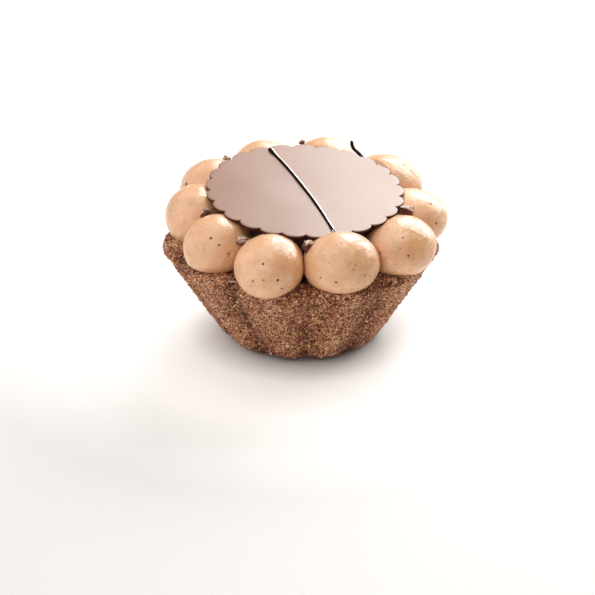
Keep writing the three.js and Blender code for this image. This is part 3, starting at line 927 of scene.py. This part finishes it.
def build_ball(index, material):
    ball = BALLS[index]
    centre, _, _, half = ball_frame(ball)
    size = half.mean()
    rng = np.random.default_rng(100 + index)
    pits, patches = ball_marks(ball.name, rng)
    sphere, faces = pitted_sphere(pits, size)
    relief, dark = pit_relief(sphere, size, pits)
    points = centre + sphere * (whole_ball(index, sphere, rng) + relief)[:, None]
    points = press_under_disc(press_on_rim(press_on_neighbours(index, points)))

    froth = np.zeros(len(sphere))
    for middle, reach in patches:
        away = np.degrees(angle_from(middle, sphere)) / reach
        froth = np.maximum(froth, np.clip(1.2 - away, 0, 1))
    uneven = 0.85 + 0.3 * noise(sphere * size + centre, 4, 72)
    # Painted shade on the side of each ball that faces front right, a little uneven.
    browned = np.clip((sphere @ unit(*SIDE_SHADE_FACING) - 0.45) / 0.45, 0, 1) * uneven
    # Painted shade on the cream under the disc's edge.
    from_middle = np.linalg.norm(points[:, :2] - np.array(DISC_CENTRE)[:2], axis=1)
    under = np.clip((DISC_RADIUS + 0.5 - from_middle) / 2.5, 0, 1)
    obj = make_object("cream_ball_" + ball.name[-2:], points, faces, material,
                      attributes={"pit": dark, "froth": froth, "under": under, "browned": browned})
    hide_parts(ball.name)
    return obj


# ---------------------------------------------------------------------- disc


def disc_axes():
    """The disc's own x, y and z axes, one to a row."""
    f, r = math.radians(DISC_LEAN_FORWARD), math.radians(DISC_LEAN_RIGHT)
    turn_x = np.array([[1, 0, 0], [0, math.cos(f), -math.sin(f)], [0, math.sin(f), math.cos(f)]])
    turn_y = np.array([[math.cos(r), 0, math.sin(r)], [0, 1, 0], [-math.sin(r), 0, math.cos(r)]])
    return (turn_y @ turn_x).T


def on_disc(points):
    return np.asarray(points, float) @ disc_axes() + np.array(DISC_CENTRE)


def build_disc(material):
    columns = SCALLOPS * SCALLOP_COLUMNS
    angle = full_turn(columns)
    across = ((angle - math.radians(SCALLOP_TIP_ANGLE)) * SCALLOPS / (2 * math.pi) + 0.5) % 1
    outline = DISC_RADIUS - SCALLOP_DEPTH * (1 - np.sqrt(np.clip(1 - (2 * across - 1) ** 2, 0, 1)))
    rows = [(share * outline, 0.0, 0) for share in np.linspace(0.004, 0.96, 26)]
    rows += [(outline - inset, drop, drop > BROKEN_AND_SHADED_BELOW) for inset, drop in DISC_EDGE]
    rows += [(share * outline, DISC_THICKNESS, 1) for share in (0.8, 0.5, 0.1, 0.004)]
    points = []
    for radius, drop, _ in rows:
        points.append(np.stack([radius * np.cos(angle), radius * np.sin(angle), np.full(columns, -drop)], -1))
    points = np.concatenate(points)
    points[:, 2] += DISC_WARP * noise(points * [1, 1, 0], 12, 71) - DISC_WARP
    # The points of the duller edge and the underside, which are painted darker as shade.
    broken_and_shaded = np.repeat([float(edge) for _, _, edge in rows], columns)
    faces = closed_faces(len(rows), columns)
    return make_object("disc_plate", on_disc(points), faces, material, attributes={"edge": broken_and_shaded})


def tube(path, radius, sides=24):
    """A tube that lies on z = 0, sunk a little, and how far each of its points is on its right side, where a
    highlight is painted.
    """
    left = np.cross(directions_along(path), [0, 0, 1])
    angles = full_turn(sides)
    points = path[:, None] + left[:, None] * (np.cos(angles) * radius[:, None])[:, :, None]
    points[:, :, 2] += np.maximum(np.sin(angles), -0.3) * radius[:, None]
    # The right side, where a highlight is painted.
    flank = np.clip((0.2 - np.cos(angles)) / 0.5, 0, 1)
    return points.reshape(-1, 3), closed_faces(len(path), sides), np.tile(flank, len(path))


def swell(t, at, reach):
    return np.exp(-((t - at) / reach) ** 2)


def build_thread(material):
    """A fine thread with a rounded head at the back, a neck after it and a split front end."""
    path = smooth_path([(x, y, 0) for x, y in THREAD_PATH], 40)
    whole = path[np.linspace(0, 1, len(path)) <= THREAD_SPLIT]
    count = len(whole)
    t = np.linspace(0, 1, count)
    radius = THREAD_RADIUS * (1 + 0.07 * noise(whole, 3, 81) + 0.45 * swell(t, 0.025, 0.03))
    radius *= 1 - 0.12 * swell(t, 0.09, 0.03)
    ends = np.clip(np.minimum(t * count / 6, (1 - t) * count / 4), 0, 1)
    strands = [tube(whole, radius * np.sqrt(1 - (1 - ends) ** 2 * 0.98))]
    tip = path[count - 8 :]
    step = np.linspace(0, 1, len(tip))
    for offset in THREAD_SPREAD:
        strand = tip + np.outer(offset * np.clip(step * 1.6, 0, 1), [1, 0.3, 0])
        strands.append(tube(strand, THREAD_RADIUS * (0.55 - 0.25 * step)))
    points, faces = joined([strand[:2] for strand in strands])
    flank = np.concatenate([strand[2] for strand in strands])
    return make_object("thread", on_disc(points), faces, material, attributes={"flank": flank})


# ------------------------------------------------------------ nibs, shaving


def turned(points, turn, lean):
    """Points leant about Y and then turned about Z, in degrees."""
    a, b = math.radians(turn), math.radians(lean)
    points = points @ np.array([[math.cos(b), 0, -math.sin(b)], [0, 1, 0], [math.sin(b), 0, math.cos(b)]])
    return points @ np.array([[math.cos(a), math.sin(a), 0], [-math.sin(a), math.cos(a), 0], [0, 0, 1]])


def build_nibs(material):
    """Broken chips: rounded blocks, cut by a few planes, roughened and turned."""
    bm = bmesh.new()
    bmesh.ops.create_icosphere(bm, subdivisions=5, radius=1)
    ball = np.array([v.co[:] for v in bm.verts])
    facets = [[v.index for v in face.verts] for face in bm.faces]
    bm.free()
    block = np.sign(ball) * np.abs(ball) ** 0.5
    chips = []
    for k, (at, size, turn, lean) in enumerate(NIBS):
        rng = np.random.default_rng(300 + k)
        p = block
        for _ in range(NIB_CUTS):
            normal = rng.normal(size=3)
            normal /= np.linalg.norm(normal)
            p = p - np.outer(np.clip(p @ normal - rng.uniform(0.68, 0.95), 0, None), normal)
        rough = 1 + 0.14 * noise(p * 2.2 + k * 10, 1, 91) + 0.08 * noise(p * 6 + k * 10, 1, 92)
        p = p * rough[:, None]
        p = p / np.abs(p).max(0) * np.array(size) / 2
        chips.append((turned(p, turn, lean) + np.array(at), facets))
    return make_object("nibs", *joined(chips), material)


def build_shaving(material):
    """A narrow curl that tapers to its end."""
    path = smooth_path(SHAVING_PATH, 16)
    along = directions_along(path)
    side = np.cross(along, [0, 0, 1])
    side /= np.linalg.norm(side, axis=1, keepdims=True)
    out = np.cross(side, along)
    taper = np.clip((1 - np.linspace(0, 1, len(path))) * 6, 0, 1) ** 0.6
    width = SHAVING_WIDTH / 2 * (0.75 + 0.25 * taper) * taper**0.3
    thickness = SHAVING_THICKNESS / 2 * taper**0.3
    angles = full_turn(SHAVING_SIDES)
    sideways = side[:, None] * np.cos(angles)[:, None] * width[:, None, None]
    outwards = out[:, None] * np.sin(angles)[:, None] * thickness[:, None, None]
    points = (path[:, None] + sideways + outwards).reshape(-1, 3)
    points += 0.08 * noise(points, 0.8, 95)[:, None] * np.array([1, 0.4, 0.3])
    return make_object("shaving", points, closed_faces(len(path), SHAVING_SIDES), material)


# --------------------------------------------------------------------- stage


def build_floor():
    """A plain pale floor, which glows a little round the tart to soften its shadow."""
    n = Nodes("floor")
    apart = n.add("ShaderNodeVectorMath", {0: n.position}, operation="LENGTH").outputs["Value"]
    glow = n.times(n.grey(apart, 18, 31, 0.0, 0.42), n.grey(apart, 50, 90, 1.0, 0.25))
    n.surface(Base_Color=(0.68, 0.665, 0.65, 1), Roughness=0.6, Specular_IOR_Level=0.2,
              Emission_Color=(1, 0.96, 0.93, 1), Emission_Strength=glow)
    corners = [(-1, -1, 0), (1, -1, 0), (1, 1, 0), (-1, 1, 0)]
    points = np.array(corners) * FLOOR_HALF_WIDTH
    floor = make_object("floor", points, [(0, 1, 2, 3)], n.material, smooth=False)


def build_sky():
    world = bpy.data.worlds.new("studio")
    bpy.context.scene.world = world
    world.use_nodes = True
    tree = world.node_tree
    toward = tree.nodes.new("ShaderNodeVectorMath")
    toward.operation = "DOT_PRODUCT"
    toward.inputs[1].default_value = SKY_BRIGHT_SIDE
    sky = tree.nodes.new("ShaderNodeMapRange")
    for key, value in SKY_RANGE.items():
        sky.inputs[key].default_value = value
    background = tree.nodes["Background"]
    background.inputs["Color"].default_value = SKY_COLOUR
    tree.links.new(tree.nodes.new("ShaderNodeTexCoord").outputs["Generated"], toward.inputs[0])
    tree.links.new(toward.outputs["Value"], sky.inputs["Value"])
    tree.links.new(sky.outputs["Result"], background.inputs["Strength"])


def build_lights():
    for name, at, size, power, roll, colour in LIGHTS:
        light = bpy.data.lights.new(name, "AREA")
        light.shape = "RECTANGLE"
        light.size, light.size_y = size
        light.energy = power
        light.color = colour
        obj = bpy.data.objects.new(name, light)
        obj.location = at
        aim = (Vector(TART_MIDDLE) - Vector(at)).to_track_quat("-Z", "Y")
        obj.rotation_euler = (aim @ Quaternion((0, 0, 1), math.radians(roll))).to_euler()
        bpy.context.scene.collection.objects.link(obj)


def build_camera():
    data = bpy.data.cameras.new("camera")
    data.sensor_width = SENSOR_WIDTH
    data.lens = FOCAL_LENGTH_PIXELS / PICTURE_WIDTH_PIXELS * SENSOR_WIDTH
    data.clip_end = 50
    obj = bpy.data.objects.new("camera", data)
    obj.location = CAMERA_AT
    obj.rotation_euler = (math.pi / 2 - CAMERA_LOOKS_DOWN, 0, 0)
    bpy.context.scene.collection.objects.link(obj)
    bpy.context.scene.camera = obj


# --------------------------------------------------------------- put together

build_camera()
build_floor()
build_sky()
build_lights()
bpy.context.scene.view_settings.view_transform = "Standard"

shell = build_shell(crumb_material("crumb"))
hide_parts("shell")
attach(shell, "root")

loose = crumb_material("grains", loose=True)
crumbs = build_grains("crumbs", loose, icosahedron(), count=6000, radius=0.2, spread=0.32,
                      limits=(0.12, 0.5), seed=11)
sand = build_grains("sand", loose, octahedron(), count=16000, radius=0.12, spread=0.25,
                    limits=(0.07, 0.2), seed=12)
for grain in (crumbs, sand):
    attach(grain, "root")

filling = build_filling(filling_material())
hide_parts("filling")
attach(filling, "root")

cream = cream_material()
for index in range(len(BALLS)):
    ball = build_ball(index, cream)
    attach(ball, "root")

nibs = build_nibs(nib_material())
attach(nibs, "root")

disc = build_disc(disc_material())
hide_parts("disc")
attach(disc, "root")

dark = thread_material()
for piece in (build_thread(dark), build_shaving(dark)):
    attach(piece, "root")
